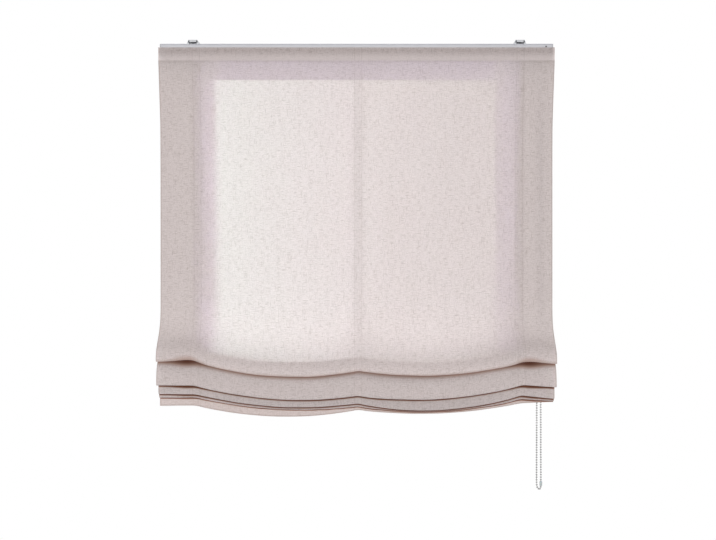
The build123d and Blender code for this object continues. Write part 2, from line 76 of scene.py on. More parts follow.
# %% Camera
def placed(name, data):
    """An object for some data, linked to the scene."""
    made = bpy.data.objects.new(name, data)
    scene.collection.objects.link(made)
    return made


sensor_mm, pixels_wide, pixel_mm, distance_mm = 36.0, 716, 2.381, 2000
camera_data = bpy.data.cameras.new("room_camera")
camera_data.sensor_fit = "HORIZONTAL"
camera_data.sensor_width = sensor_mm
camera_data.lens = sensor_mm / (pixels_wide * pixel_mm / distance_mm)
camera = placed("room_camera", camera_data)
camera.location = (0.0036, -2.0247, -0.5485)
camera.rotation_euler = (pi / 2, 0, 0)
scene.camera = camera
scene.view_settings.view_transform = "Standard"
print("lens", round(camera_data.lens, 2), "mm")

# %% [markdown]
# ## Node helpers
# Materials here are small graphs of nodes, and a few helpers keep them readable. Two add a node and fill or
# link its sockets. Others wrap the nodes used most: a sum, a mix of two colours, a change of range, a noise,
# a bump. The last ones start a finish or a node group and put a group to use, so that several finishes can
# share it.


# %% Node helpers
def fill(tree, node, **sockets):
    """Gives sockets, named with _ for a space or numbered as i0, a value or another node's output."""
    for name, value in sockets.items():
        numbered = name[0] == "i" and name[1:].isdigit()
        socket = node.inputs[int(name[1:]) if numbered else name.replace("_", " ")]
        if isinstance(value, bpy.types.NodeSocket):
            tree.links.new(value, socket)
        elif socket.type == "RGBA":
            socket.default_value = (*value[:3], 1.0)
        else:
            socket.default_value = value
    return node


def add(tree, kind, settings=None, **sockets):
    node = tree.nodes.new(kind)
    for name, value in (settings or {}).items():
        setattr(node, name, value)
    return fill(tree, node, **sockets)


def calc(tree, operation, first, second=0.0):
    return add(tree, "ShaderNodeMath", {"operation": operation}, i0=first, i1=second).outputs[0]


# %% Colour, range and texture helpers
def tone_mix(tree, factor, low, high):
    """A colour between two colours."""
    return add(tree, "ShaderNodeMix", {"data_type": "RGBA"}, i0=factor, i6=low, i7=high).outputs[2]


def span(tree, value, low, high, to_low=0.0, to_high=1.0):
    """Stretches a value's range, with clamped ends."""
    return add(tree, "ShaderNodeMapRange", None, Value=value, From_Min=low, From_Max=high, To_Min=to_low,
               To_Max=to_high).outputs[0]


def mottled(tree, vector, scale, detail, roughness):
    """The value of a noise texture."""
    return add(tree, "ShaderNodeTexNoise", None, Vector=vector, Scale=scale, Detail=detail,
               Roughness=roughness).outputs[0]


def relief(tree, strength, distance, height):
    """The normal of a surface with a fine bump."""
    return add(tree, "ShaderNodeBump", None, Strength=strength, Distance=distance, Height=height).outputs[0]


def axes(tree, vector):
    return list(add(tree, "ShaderNodeSeparateXYZ", None, Vector=vector).outputs)


def vector_of(tree, x, y, z):
    return add(tree, "ShaderNodeCombineXYZ", None, X=x, Y=y, Z=z).outputs[0]


def object_place(tree):
    """Coordinates that stay fixed to the piece."""
    return add(tree, "ShaderNodeTexCoord").outputs["Object"]


def flat_cut(tree):
    """Coordinates on the flat cut of a cloth, in metres."""
    return add(tree, "ShaderNodeUVMap", {"uv_map": "flat_cut"}).outputs[0]


# %% Finish and group helpers
def new_finish(name):
    """A new material, its node tree and its Principled shader."""
    made = bpy.data.materials.new(name)
    made.use_nodes = True
    return made, made.node_tree, made.node_tree.nodes["Principled BSDF"]


FLOAT, VECTOR = "NodeSocketFloat", "NodeSocketVector"


def new_group(name, inputs, outputs):
    """A new node group, what it is given and the node that takes what it gives back."""
    group = bpy.data.node_groups.new(name, "ShaderNodeTree")
    for socket, kind, value in inputs:
        made = group.interface.new_socket(socket, in_out="INPUT", socket_type=kind)
        if value is not None:
            made.default_value = value
    for socket in outputs:
        group.interface.new_socket(socket, in_out="OUTPUT", socket_type=FLOAT)
    return group, group.nodes.new("NodeGroupInput").outputs, group.nodes.new("NodeGroupOutput")


def use(tree, group, **sockets):
    """Puts a node group in a tree and gives its outputs."""
    return add(tree, "ShaderNodeGroup", {"node_tree": group}, **sockets).outputs


# %% [markdown]
# ## Shared effects
# Linen, tape and the gripping strips are all woven, so one group makes the crossing threads and the thick
# slubs that linen yarn has. A second group lays a row of machine stitches along a line. A third gives
# moulded plastic and paint their slight unevenness, and a fourth the drawn lines of rolled metal.

# %% Woven threads group
slub_fineness, slub_noise = 0.36, (1.0, 2.0, 0.6)
weft_layer, warp_layer = 0.0, 3.7
weave_group, given, wanted = new_group(
    "Woven Threads", [("Vector", VECTOR, None), ("Threads", FLOAT, 1400.0), ("Slub Length", FLOAT, 0.02)],
    ["Height", "Weft Slub", "Warp Slub", "Cloud"])
tree = weave_group
u, v, _ = axes(tree, given["Vector"])
turn = calc(tree, "MULTIPLY", given["Threads"], 2 * pi)
warp, weft = (calc(tree, "SINE", calc(tree, "MULTIPLY", part, turn)) for part in (u, v))
cross = calc(tree, "ADD", calc(tree, "MULTIPLY", warp, weft), 1.0)
along = calc(tree, "DIVIDE", 1.0, given["Slub Length"])
fine = calc(tree, "MULTIPLY", given["Threads"], slub_fineness)
slubs = [mottled(tree, vector_of(tree, calc(tree, "MULTIPLY", u, u_scale), calc(tree, "MULTIPLY", v, v_scale),
                                 layer), *slub_noise)
         for u_scale, v_scale, layer in ((along, fine, weft_layer), (fine, along, warp_layer))]
fill(tree, wanted, Height=calc(tree, "MULTIPLY", cross, 0.5), Weft_Slub=slubs[0], Warp_Slub=slubs[1],
     Cloud=mottled(tree, given["Vector"], 26.0, 3.0, 0.6))
print("group", weave_group.name, len(weave_group.nodes), "nodes")

# %% Stitch row group
# The pucker is the cloth drawn up beside a row: a bump, and in the linen a painted shade as well.
stitch_share, pucker_widths = 0.72, 3.0
stitch_group, given, wanted = new_group(
    "Stitch Row",
    [("Across", FLOAT, 0.0), ("Along", FLOAT, 0.0), ("Pitch", FLOAT, 0.004), ("Width", FLOAT, 0.0009)],
    ["Stitch", "Pucker"])
tree = stitch_group
apart = calc(tree, "ABSOLUTE", given["Across"])
near = calc(tree, "LESS_THAN", apart, given["Width"])
beat = calc(tree, "FRACT", calc(tree, "DIVIDE", given["Along"], given["Pitch"]))
dash = calc(tree, "LESS_THAN", calc(tree, "ABSOLUTE", calc(tree, "SUBTRACT", beat, 0.5)), stitch_share / 2)
reach = calc(tree, "MULTIPLY", given["Width"], pucker_widths)
pucker_and_shade = calc(tree, "SUBTRACT", 1.0, calc(tree, "DIVIDE", apart, reach))
fill(tree, wanted, Stitch=calc(tree, "MULTIPLY", near, dash), Pucker=calc(tree, "MAXIMUM", pucker_and_shade, 0.0))
print("group", stitch_group.name, len(stitch_group.nodes), "nodes")

# %% Mottle and drawn line groups
mottle_group, given, wanted = new_group(
    "Soft Mottle", [("Vector", VECTOR, None), ("Grain", FLOAT, 900.0)], ["Cloud", "Grain"])
fill(mottle_group, wanted, Cloud=mottled(mottle_group, given["Vector"], 38.0, 3.0, 0.55),
     Grain=mottled(mottle_group, given["Vector"], given["Grain"], 1.0, 0.5))

drawn_group, given, wanted = new_group(
    "Drawn Lines", [("Vector", VECTOR, None), ("Lines", FLOAT, 2600.0)], ["Lines", "Cloud"])
tree = drawn_group
stretched = vector_of(tree, *(calc(tree, "MULTIPLY", part, scale) for part, scale in zip(
    axes(tree, given["Vector"]), (18.0, given["Lines"], given["Lines"]))))
fill(tree, wanted, Lines=mottled(tree, stretched, 1.0, 2.0, 0.55),
     Cloud=mottled(tree, given["Vector"], 60.0, 3.0, 0.6))
print("groups", mottle_group.name, "and", drawn_group.name)

# %% [markdown]
# ## Light and floor
# The blind hangs against plain white. The world is white for the camera and for reflections. The light that
# it sheds on the cloth is softer, stronger from the front than from behind, and stronger from above than
# from below. One wide softbox stands in front and a low one fills the folds. Flat panels behind the cloth
# send daylight through it, because sheer linen shows its weave best against the light. Rows of narrow panels
# make two bright fields and the cooler glow beside them, so that level and colour go over smoothly, and one
# wide panel lights the strip above. Two more panels light the backs of the folds and of the rail.

# %% World
from_front, from_behind, from_below, from_above = 0.40, 0.28, 0.35, 1.65
world = bpy.data.worlds.new("studio")
scene.world = world
world.use_nodes = True
tree = world.node_tree
tree.nodes.clear()
path = add(tree, "ShaderNodeLightPath").outputs
seen = calc(tree, "MAXIMUM", calc(tree, "MAXIMUM", path["Is Camera Ray"], path["Is Glossy Ray"]),
            path["Is Transmission Ray"])
away, up = axes(tree, add(tree, "ShaderNodeTexCoord").outputs["Generated"])[1:]
shed = calc(tree, "MULTIPLY", span(tree, away, -0.4, 0.4, from_front, from_behind),
            span(tree, up, -1.0, 1.0, from_below, from_above))
level = add(tree, "ShaderNodeMix", None, i0=seen, i2=shed, i3=1.0).outputs[0]
backing = add(tree, "ShaderNodeBackground", None, Color=(1.0, 1.0, 1.0), Strength=level)
add(tree, "ShaderNodeOutputWorld", None, Surface=backing.outputs[0])
print("world", world.name)


# %% Front lamps
def softbox(name, place, aim, size, watts, colour, spread=180.0):
    lamp = bpy.data.lights.new(name, "AREA")
    lamp.shape = "RECTANGLE"
    lamp.size, lamp.size_y = size
    lamp.energy = watts
    lamp.color = colour
    lamp.spread = radians(spread)
    holder = placed(name, lamp)
    holder.location = place
    holder.rotation_euler = (Vector(aim) - Vector(place)).to_track_quat("-Z", "Y").to_euler()
    holder.visible_camera = False
    holder.visible_glossy = False


softbox("room_softbox", (-0.12, -2.5, -0.62), (0, 0, -0.72), (1.5, 1.1), 31.0, (1.0, 0.99, 0.985))
softbox("low_fill", (0.05, -1.6, -1.00), (0, -0.05, -0.805), (1.6, 0.10), 0.34, (1.0, 0.975, 0.965), 12)

# %% Daylight panels
field_low, field_high, field_left, field_middle, field_right = -0.790, -0.0958, -0.3352, 0.004, 0.332
rim_left, rim_right, rim_high = -0.3916, 0.3916, -0.0503
panel_spread, behind_cloth, behind_rail = 3.5, 0.030, 0.12


def daylight(name, left, right, low, high, level, colour, y=behind_cloth):
    """A flat panel of light behind the cloth, with a level in watts for each square metre."""
    middle = ((left + right) / 2, y, (low + high) / 2)
    softbox(name, middle, (middle[0], -0.5, middle[2]), (right - left, high - low),
            level * (right - left) * (high - low), colour, panel_spread)


def graded_field(name, left, right, levels, colours, low=field_low, high=field_high, steps=6):
    """Narrow panels side by side, whose level and colour go over from the left end to the right end."""
    width = (right - left) / steps
    for step in range(steps):
        share = step / (steps - 1)
        level = levels[0] + (levels[1] - levels[0]) * share
        colour = Vector(colours[0]).lerp(Vector(colours[1]), share)
        edge = left + step * width
        daylight(f"{name}_{step}", edge, edge + width, low, high, level, colour)


lavender, pale_lavender, top_lavender = (0.46, 0.41, 1.0), (0.74, 0.78, 1.0), (0.57, 0.52, 1.0)
white, cool_white = (0.76, 1.0, 1.0), (0.95, 0.98, 1.0)
pale_rose, rose = (0.825, 0.955, 1.0), (0.845, 0.975, 1.0)
graded_field("left_field", field_left, field_middle, (4.00, 3.07), (white, pale_rose))
graded_field("right_field", field_middle, field_right, (2.65, 1.78), (rose, rose))
for side, left, right, rim_levels, corner_levels, tints in (
        ("left", rim_left, field_left, (0.20, 2.45), (0.15, 1.35), (lavender, pale_lavender)),
        ("right", field_right, rim_right, (1.90, 0.90), (1.35, 0.60), (pale_lavender, lavender))):
    graded_field(f"{side}_rim", left, right, rim_levels, tints, steps=8)
    graded_field(f"{side}_corner", left, right, corner_levels, tints, field_high, rim_high, 4)
daylight("top_rim", field_left, field_right, field_high, rim_high, 1.35, top_lavender)
daylight("stack_back", -0.470, 0.470, -0.846, field_low, 3.2, cool_white)
daylight("rail_back", -0.480, 0.480, -0.046, 0.004, 1.6, cool_white, behind_rail)

# %% Floor
floor_size, floor_place = (1.6, 1.3, 1.0), (0.0, -0.9, -1.35)
ground = bmesh.new()
bmesh.ops.create_grid(ground, x_segments=1, y_segments=1, size=1.0)
bmesh.ops.scale(ground, vec=floor_size, verts=ground.verts)
bmesh.ops.translate(ground, vec=floor_place, verts=ground.verts)
floor_mesh = bpy.data.meshes.new("floor")
ground.to_mesh(floor_mesh)
ground.free()
floor = placed("floor", floor_mesh)
floor_finish, tree, shader = new_finish("pale_floor")
mottle = use(tree, mottle_group, Vector=object_place(tree), Grain=220.0)
seen = add(tree, "ShaderNodeLightPath").outputs["Is Camera Ray"]
fill(tree, shader, Roughness=0.8, Emission_Color=(0.9, 0.9, 0.9),
     Emission_Strength=calc(tree, "MULTIPLY", seen, 0.55),
     Base_Color=tone_mix(tree, span(tree, mottle["Cloud"], 0.3, 0.7), (0.86, 0.86, 0.86), (0.9, 0.9, 0.9)))
floor_mesh.materials.append(floor_finish)
print("floor at", floor_mesh.vertices[0].co.z)

# %% [markdown]
# ## Finishes of the hard pieces
# The rail is powder coated a light grey, the brackets are zinc plated steel, and the drive, spools, rings
# and beads are moulded plastic. Each starts from the same Principled shader. The colour wanders a little,
# the gloss varies on a finer scale, and a fine bump breaks up the highlights, as it does on the real
# surfaces.


# %% Moulded and coated finishes
def hard_finish(name, colour, dark, roughness, grain, bump, **sockets):
    """A plastic or painted finish with slight mottling. Object coordinates keep it fixed to the piece."""
    made, tree, shader = new_finish(name)
    mottle = use(tree, mottle_group, Vector=object_place(tree), Grain=grain)
    fill(tree, shader, Base_Color=tone_mix(tree, span(tree, mottle["Cloud"], 0.3, 0.72), dark, colour),
         Roughness=span(tree, mottle["Grain"], 0.3, 0.7, roughness - 0.06, roughness + 0.06),
         Normal=relief(tree, bump, 0.0002, mottle["Grain"]), **sockets)
    return made


rail_paint = hard_finish("rail_powder_coat", (0.66, 0.665, 0.70), (0.63, 0.635, 0.67), 0.42, 1500.0, 0.25)
cap_plastic = hard_finish("cap_plastic", (0.52, 0.525, 0.55), (0.48, 0.485, 0.51), 0.48, 1200.0, 0.3)
drive_plastic = hard_finish("drive_plastic", (0.74, 0.74, 0.73), (0.70, 0.70, 0.69), 0.45, 1100.0, 0.3)
spool_plastic = hard_finish("spool_plastic", (0.80, 0.80, 0.78), (0.76, 0.76, 0.74), 0.40, 900.0, 0.25)
ring_plastic = hard_finish("ring_plastic", (0.82, 0.80, 0.77), (0.77, 0.75, 0.72), 0.35, 800.0, 0.15,
                           Subsurface_Weight=0.12)
bead_plastic = hard_finish("bead_plastic", (0.46, 0.46, 0.46), (0.40, 0.40, 0.40), 0.28, 600.0, 0.1)
print("moulded finishes made")


# %% Metal finishes
def metal_finish(name, colour, dark, roughness, lines):
    made, tree, shader = new_finish(name)
    drawn = use(tree, drawn_group, Vector=object_place(tree), Lines=lines)
    fill(tree, shader, Base_Color=tone_mix(tree, span(tree, drawn["Cloud"], 0.3, 0.7), dark, colour),
         Roughness=span(tree, drawn["Lines"], 0.25, 0.75, roughness - 0.1, roughness + 0.12),
         Normal=relief(tree, 0.2, 0.0001, drawn["Lines"]), Metallic=1.0)
    return made


zinc_steel = metal_finish("zinc_plated_steel", (0.66, 0.67, 0.69), (0.55, 0.56, 0.59), 0.36, 1800.0)
pin_steel = metal_finish("dark_pin_steel", (0.34, 0.34, 0.36), (0.26, 0.26, 0.28), 0.38, 2400.0)
shaft_metal = metal_finish("mill_aluminium", (0.76, 0.77, 0.78), (0.68, 0.69, 0.70), 0.32, 3200.0)
print("metal finishes made")

# %% [markdown]
# ## Placing a finished piece
# Every piece ends the same way: its mesh or curve becomes an object at the origin, with a finish and a body to
# move with, and where it stands for a solid of the skeleton, that solid is hidden. Every mesh starts as a
# bmesh, and a turned shape as a profile that is spun once and then stood in its place.

# %% Piece helpers
merge_distance, crisp = 1e-6, 30.0


def cleaned(shape):
    """Joins doubled vertices, as at a spun shape's seam, and turns all faces outwards."""
    bmesh.ops.remove_doubles(shape, verts=shape.verts, dist=merge_distance)
    bmesh.ops.recalc_face_normals(shape, faces=shape.faces)


def riding(made, finish, body, replaces):
    """Gives an object its finish and the body it moves with, and hides the solids it stands for."""
    made.data.materials.append(finish)
    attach(made, body)
    if replaces:
        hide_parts(*replaces)
    return made


def piece(name, shape, finish, body, replaces=(), sharp_above=40.0, tidy=True):
    """A finished piece from a bmesh, smooth apart from edges sharper than an angle in degrees."""
    if tidy:
        cleaned(shape)
    mesh = bpy.data.meshes.new(name)
    shape.to_mesh(mesh)
    shape.free()
    mesh.polygons.foreach_set("use_smooth", [True] * len(mesh.polygons))
    mesh.set_sharp_from_angle(angle=radians(sharp_above))
    return riding(placed(name, mesh), finish, body, replaces)


# %% Spun and repeated shapes
def lathe(shape, profile, steps=32, closed=True):
    """Spins a profile of (place along X, radius) once round the X axis and gives back its new vertices."""
    before = set(shape.verts)
    line = [shape.verts.new((along, 0.0, radius)) for along, radius in profile]
    edges = [shape.edges.new(pair) for pair in zip(line, line[1:])]
    if closed:
        edges.append(shape.edges.new((line[-1], line[0])))
    bmesh.ops.spin(shape, geom=line + edges, cent=(0, 0, 0), axis=(1, 0, 0), angle=2 * pi, steps=steps,
                   use_merge=True, dvec=(0, 0, 0), use_duplicate=False)
    return [v for v in shape.verts if v not in before]


def stand(shape, verts, angle, axis, place=(0, 0, 0)):
    """Turns a spun shape about the origin and moves it to its place."""
    bmesh.ops.rotate(shape, cent=(0, 0, 0), matrix=Matrix.Rotation(angle, 3, axis), verts=verts)
    bmesh.ops.translate(shape, vec=place, verts=verts)


def repeated(shape, matrices):
    """A bmesh with a copy of a small shape at each matrix."""
    pattern = bpy.data.meshes.new("pattern")
    shape.to_mesh(pattern)
    shape.free()
    gathered = bmesh.new()
    for matrix in matrices:
        copy = pattern.copy()
        copy.transform(matrix)
        gathered.from_mesh(copy)
        bpy.data.meshes.remove(copy)
    bpy.data.meshes.remove(pattern)
    return gathered


# %% [markdown]
# ## Bead chain
# The chain is an endless loop of thread with beads moulded on it every 6 mm. It goes over the sprocket in
# the rail, hangs down behind the cloth and turns gently, so both of its strands show below the hem. The
# route is a NURBS spline, and the beads are set along the points that Blender reads back from that spline.


# %% Chain route
def nurbs_route(name, points, radius, steps=12):
    curve = bpy.data.curves.new(name, "CURVE")
    curve.dimensions = "3D"
    spline = curve.splines.new("NURBS")
    spline.points.add(len(points) - 1)
    for spot, place in zip(spline.points, points):
        spot.co = (*place, 1.0)
    spline.order_u = 3
    spline.use_endpoint_u = True
    spline.resolution_u = steps
    curve.bevel_depth = radius
    curve.bevel_resolution = 2
    curve.use_fill_caps = True
    return curve


def route_points(curve):
    """The places along a route's spline, as Blender gives them for a curve with no bevel."""
    plain = curve.copy()
    plain.bevel_depth = 0.0
    holder = bpy.data.objects.new("route_reader", plain)
    read = bpy.data.meshes.new_from_object(holder)
    places = [v.co.copy() for v in read.vertices]
    bpy.data.objects.remove(holder)
    bpy.data.meshes.remove(read)
    bpy.data.curves.remove(plain)
    return places


thread_radius = 0.0006
chain_points = [
    (0.4400, 0.0070, -0.0199), (0.4400, 0.0088, -0.0195), (0.4400, 0.0155, -0.0263),
    (0.4400, 0.0155, -0.0580), (0.4381, 0.0140, -0.5495), (0.4366, 0.0123, -1.0440),
    (0.4366, 0.0123, -1.0717), (0.4386, 0.0075, -1.0770), (0.4414, 0.0005, -1.0770),
    (0.4434, -0.0043, -1.0717), (0.4434, -0.0043, -1.0440), (0.4420, -0.0060, -0.5495),
    (0.4400, -0.0075, -0.0580), (0.4400, -0.0075, -0.0263), (0.4400, -0.0008, -0.0195),
    (0.4400, 0.0010, -0.0199),
]
chain_curve = nurbs_route("bead_chain_thread", chain_points, thread_radius)
chain_places = route_points(chain_curve)


# %% Beads along the chain
def places_along(places, pitch, start):
    """Evenly spaced (place, heading) along a line of places."""
    found, ahead = [], start
    for a, b in zip(places, places[1:]):
        run = (b - a).length
        while ahead <= run:
            found.append((a.lerp(b, ahead / run), (b - a) / run))
            ahead += pitch
        ahead -= run
    return found


bead_pitch, bead_radius = 0.006, 0.00225
bead = bmesh.new()
bmesh.ops.create_uvsphere(bead, u_segments=10, v_segments=6, radius=bead_radius)
bead_spots = [Matrix.Translation(place) @ heading.to_track_quat("Z", "Y").to_matrix().to_4x4()
              for place, heading in places_along(chain_places, bead_pitch, bead_pitch / 2)]
beads = piece("chain_beads", repeated(bead, bead_spots), bead_plastic, "frame",
              ("bead_chain",), tidy=False)
print("beads", len(bead_spots))

# %% [markdown]
# ## Braided cord finish
# The lift cords and the chain's thread are fine braids. They hang almost straight down, so Object
# coordinates are enough: a slanted wave over height and width gives the strands as a bump, and the colour
# is painted darker between them, a painted shade in the grooves.

# %% Braided cord finish
strand_wave = 4200.0
cord_braid, tree, shader = new_finish("cord_braid")
coords = object_place(tree)
cloud = use(tree, weave_group, Vector=coords, Threads=1100.0, Slub_Length=0.01)["Cloud"]
x, _, z = axes(tree, coords)
slant = calc(tree, "SINE", calc(tree, "MULTIPLY", calc(tree, "ADD", z, x), strand_wave))
fill(tree, shader, Roughness=span(tree, cloud, 0.3, 0.7, 0.7, 0.85), Sheen_Weight=0.2,
     # Painted shade: the colour is darker between the strands.
     Base_Color=tone_mix(tree, span(tree, slant, -1.0, 1.0), (0.66, 0.65, 0.62), (0.80, 0.79, 0.76)),
     Normal=relief(tree, 0.5, 0.0002, slant))
print("finish", cord_braid.name)


# %% Chain thread and connector
def cord_piece(curve, body, replaced):
    return riding(placed(curve.name, curve), cord_braid, body, (replaced,))


chain_thread = cord_piece(chain_curve, "frame", "bead_chain")
lowest, highest = (Vector(corner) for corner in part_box("chain_connector"))
clip_middle = (lowest + highest) / 2
clip_half, clip_radius = (highest.z - lowest.z) / 2, 0.0033
clip = bmesh.new()
clip_profile = [(-1.0, 0.62), (-0.94, 0.80), (-0.80, 0.95), (-0.16, 1.0), (-0.10, 0.90), (0.10, 0.90),
                (0.16, 1.0), (0.80, 0.95), (0.94, 0.80), (1.0, 0.62), (0.9, 0.45), (-0.9, 0.45)]
lathe(clip, [(along * clip_half, radius * clip_radius) for along, radius in clip_profile], 20)
stand(clip, clip.verts, pi / 2, "Y", clip_middle)
clear_clip = hard_finish("clip_plastic", (0.62, 0.62, 0.62), (0.55, 0.55, 0.55), 0.22, 500.0, 0.1,
                         Subsurface_Weight=0.2)
chain_clip = piece("chain_clip", clip, clear_clip, "frame", ("chain_connector",))
print("connector at", [round(v, 4) for v in clip_middle])

# %% [markdown]
# ## Lift cords
# Three cords leave the spools' fronts and run straight down behind the cloth, through the rings, into an
# acorn shaped stop. The tension of the hanging cloth keeps them straight, so four points are enough for
# each.

# %% Lift cords and stops
cord_radius, cord_lead = 0.0007, 0.02
stop_gap, stop_length, stop_radius, cord_in_stop = 0.00165, 0.010, 0.0034, 0.007
stop_profile = [(0.0, 0.3), (0.0, 0.92), (0.06, 1.0), (0.45, 1.0), (0.72, 0.86), (0.92, 0.56), (1.0, 0.22),
                (1.0, 0.0), (0.7, 0.0), (0.7, 0.25)]
stop_section = [(along * stop_length, radius * stop_radius) for along, radius in stop_profile]
for side, x in tape_places.items():
    stop_top = top_ring - tape_drops[side] - ring_shares[-1] * stack_drop - stop_gap
    foot = stop_top - cord_in_stop
    route = [(x, cord_y, z) for z in (shaft_z, shaft_z - cord_lead, foot + cord_lead, foot)]
    lift_cord = cord_piece(nurbs_route(f"lift_cord_{side}_braid", route, cord_radius), "frame",
                           "lift_cord_" + side)
    stop = bmesh.new()
    lathe(stop, stop_section, 20, closed=False)
    stand(stop, stop.verts, pi / 2, "Y", (x, cord_y, stop_top))
    cord_stop = piece("cord_stop_" + side, stop, ring_plastic, "frame", ("cord_stops",))
    print("lift cord", side, "length", round(shaft_z - foot, 4), "m")

# %% [markdown]
# ## The cloth's line
# Seen from the side, the linen hangs from the header, leans back to the lift cords and then folds: one part
# fold in front, two full folds behind it, a short one, and the hem. The line is given by a few corner
# points, as in the solid. A quadratic spline rounds them: it touches the middle of every run, so a fold
# keeps its depth. Every point also belongs to a swag row, because each fold sags by its own amount between
# the tapes.

# %% Corner points of the section
panel_y, cloth_y = -0.0130, -0.0247
swag_rows = {  # drop below the left edge: left swag, centre tape, right swag, right end, tilt past the tape
    "front": (0.0348, 0.0213, 0.0322, 0.0047, 0.0030),
    "ring": (0.0330, 0.0200, 0.0330, 0.0000, 0.0000),
    "second": (0.0317, 0.0235, 0.0317, 0.0019, 0.0050),
    "third": (0.0296, 0.0213, 0.0379, 0.0071, 0.0080),
    "fourth": (0.0274, 0.0202, 0.0330, 0.0060, 0.0040),
    "hem": (0.0263, 0.0095, 0.0190, -0.0070, -0.0030),
}
header_points = [
    (cloth_y, -0.0185), (cloth_y, -0.0300), (cloth_y, -0.0465), (cloth_y + 0.0003, -0.0545),
    (-0.0195, -0.1300), (-0.0140, -0.2150), (panel_y, -0.3200), (panel_y, -0.4800), (panel_y, -0.6000),
]
fold_points = [  # share of the fold reach, share of the stack's drop, swag row, share of its swag
    (0.000, -0.460, "front", 0.55), (0.310, -0.225, "front", 0.80), (0.940, 0.040, "front", 1.0),
    (1.000, 0.232, "front", 1.0), (0.770, 0.232, "front", 1.0), (0.620, 0.186, "front", 0.95),
    (0.120, 0.032, "ring", 1.0), (0.016, 0.000, "ring", 1.0), (-0.016, 0.000, "ring", 1.0),
    (0.090, 0.050, "ring", 1.0), (0.560, 0.228, "second", 1.0), (0.720, 0.290, "second", 1.0),
    (0.850, 0.380, "second", 1.0), (0.885, 0.634, "second", 1.0), (0.690, 0.634, "second", 1.0),
    (0.620, 0.548, "second", 1.0), (0.385, 0.260, "second", 1.0), (0.016, 0.070, "ring", 1.0),
    (-0.016, 0.070, "ring", 1.0), (0.270, 0.232, "third", 1.0), (0.400, 0.590, "third", 1.0),
    (0.432, 0.680, "third", 1.0), (0.450, 0.796, "third", 1.0), (0.335, 0.796, "third", 1.0),
    (0.318, 0.715, "third", 1.0), (0.225, 0.275, "third", 0.9), (0.016, 0.140, "ring", 1.0),
    (-0.016, 0.140, "ring", 1.0), (0.180, 0.289, "fourth", 0.9), (0.272, 0.740, "fourth", 1.0),
    (0.292, 0.812, "fourth", 1.0), (0.300, 0.859, "fourth", 1.0), (0.213, 0.859, "fourth", 1.0),
    (0.195, 0.785, "fourth", 1.0), (0.095, 0.373, "fourth", 0.9), (0.016, 0.211, "ring", 1.0),
    (-0.016, 0.211, "ring", 1.0), (0.050, 0.408, "hem", 1.0), (0.102, 0.780, "hem", 1.0),
    (0.114, 0.860, "hem", 1.0), (0.120, 0.900, "hem", 1.0), (0.135, 1.000, "hem", 1.0),
]
corner_count = len(header_points) + len(fold_points)
print("section corners", corner_count)

# %% Swag across the width
wing_width, arc_fullness = 0.081, 0.8
kink_shifts = (-0.007, -0.0035, 0.0, 0.0035, 0.007)
pinch_place, pinch_width = 1.05, 0.034


def swag(x, row):
    """How far a row hangs at a place across: level or tilted past the side tapes, an arc between tapes."""
    left_arc, centre, right_arc, right_end, tilt = row
    left_tape, centre_tape, right_tape = tape_places.values()
    if x <= left_tape:
        return 0.0
    if x >= right_tape:
        return right_end + tilt * ((x - right_tape) / wing_width - 0.5)
    if x < centre_tape:
        share = (x - left_tape) / (centre_tape - left_tape)
        low, high, arc = 0.0, centre, left_arc
    else:
        share = (x - centre_tape) / (right_tape - centre_tape)
        low, high, arc = centre, right_end - tilt / 2, right_arc
    return low + (high - low) * share + (arc - (low + high) / 2) * sin(pi * share) ** arc_fullness


def soft_swag(x, row):
    """The swag with its kinks at the tapes eased over a few millimetres."""
    return sum(swag(x + shift, row) for shift in kink_shifts) / len(kink_shifts)


def tape_pinch(x):
    """1 just outside the side tapes, where the rings hold the cloth back, and 0 a few centimetres away."""
    return sum(np.exp(-((x - tape_places[side] * pinch_place) / pinch_width) ** 2)
               for side in ("left", "right"))


left_middle = (tape_places["left"] + tape_places["centre"]) / 2
print("left swag of the front fold", round(soft_swag(left_middle, swag_rows["front"]), 4))

# %% Corner points across the width
slack_start, slack_run, ripple_stretch = 0.06, 0.10, 0.45
panel_ripples = ((0.0016, 7.0, 2.0), (0.0007, 19.0, 5.0))  # size, scale, seed
uneven_share, uneven_scale, uneven_seed = 0.07, 6.0, 4.0
edge_ripple, edge_scale, edge_seed, edge_seed_start, edge_reach = 0.0009, 14.0, 9.0, 3.0, 0.05
pinch_share, front_lift, second_dip, second_foot = 0.10, 0.0030, 0.0065, 0.5


def ripple(x, z, scale, seed):
    return noise.noise(Vector((x * scale, z * scale * ripple_stretch, seed)))


def section_corners(x):
    """The corner points (y, z) of the cloth's line at a place across it, with small irregularities."""
    corners = []
    for y, z in header_points:
        slack = min(1.0, max(0.0, (-z - slack_start) / slack_run))
        waver = sum(size * ripple(x, z, scale, seed) for size, scale, seed in panel_ripples)
        corners.append((y + slack * waver, z))
    pinch = tape_pinch(x)
    for reach, drop, row, weight in fold_points:
        held = pinch_share * pinch if row in ("front", "second") else 0.0
        uneven = 1.0 + uneven_share * ripple(x, 0.0, uneven_scale, drop * uneven_seed) - held
        lift = front_lift * pinch if row == "front" and drop > 0.0 else 0.0
        if reach > edge_reach:
            lift += edge_ripple * ripple(x, 0.0, edge_scale, drop * edge_seed + edge_seed_start)
        if row == "second" and drop < second_foot:
            lift -= second_dip * pinch
        hang = weight * soft_swag(x, swag_rows[row])
        corners.append((panel_y - fold_reach * reach * uneven, top_ring - stack_drop * drop - hang + lift))
    return corners


print("corner points at the middle", len(section_corners(0.0)))


# %% Spline weights along the section
def spline_weights(count, steps):
    """Weights that turn corner points into places on the quadratic spline through their runs' middles."""
    weights = []
    for corner in range(1, count - 1):
        for step in range(steps + (corner == count - 2)):
            share = step / steps
            row = np.zeros(count)
            row[corner] = 2 * share * (1 - share)
            for other, part, last in ((corner - 1, (1 - share) ** 2, 0), (corner + 1, share ** 2, count - 1)):
                if other == last:
                    row[other] += part
                else:
                    row[other] += part / 2
                    row[corner] += part / 2
            weights.append(row)
    return np.array(weights)


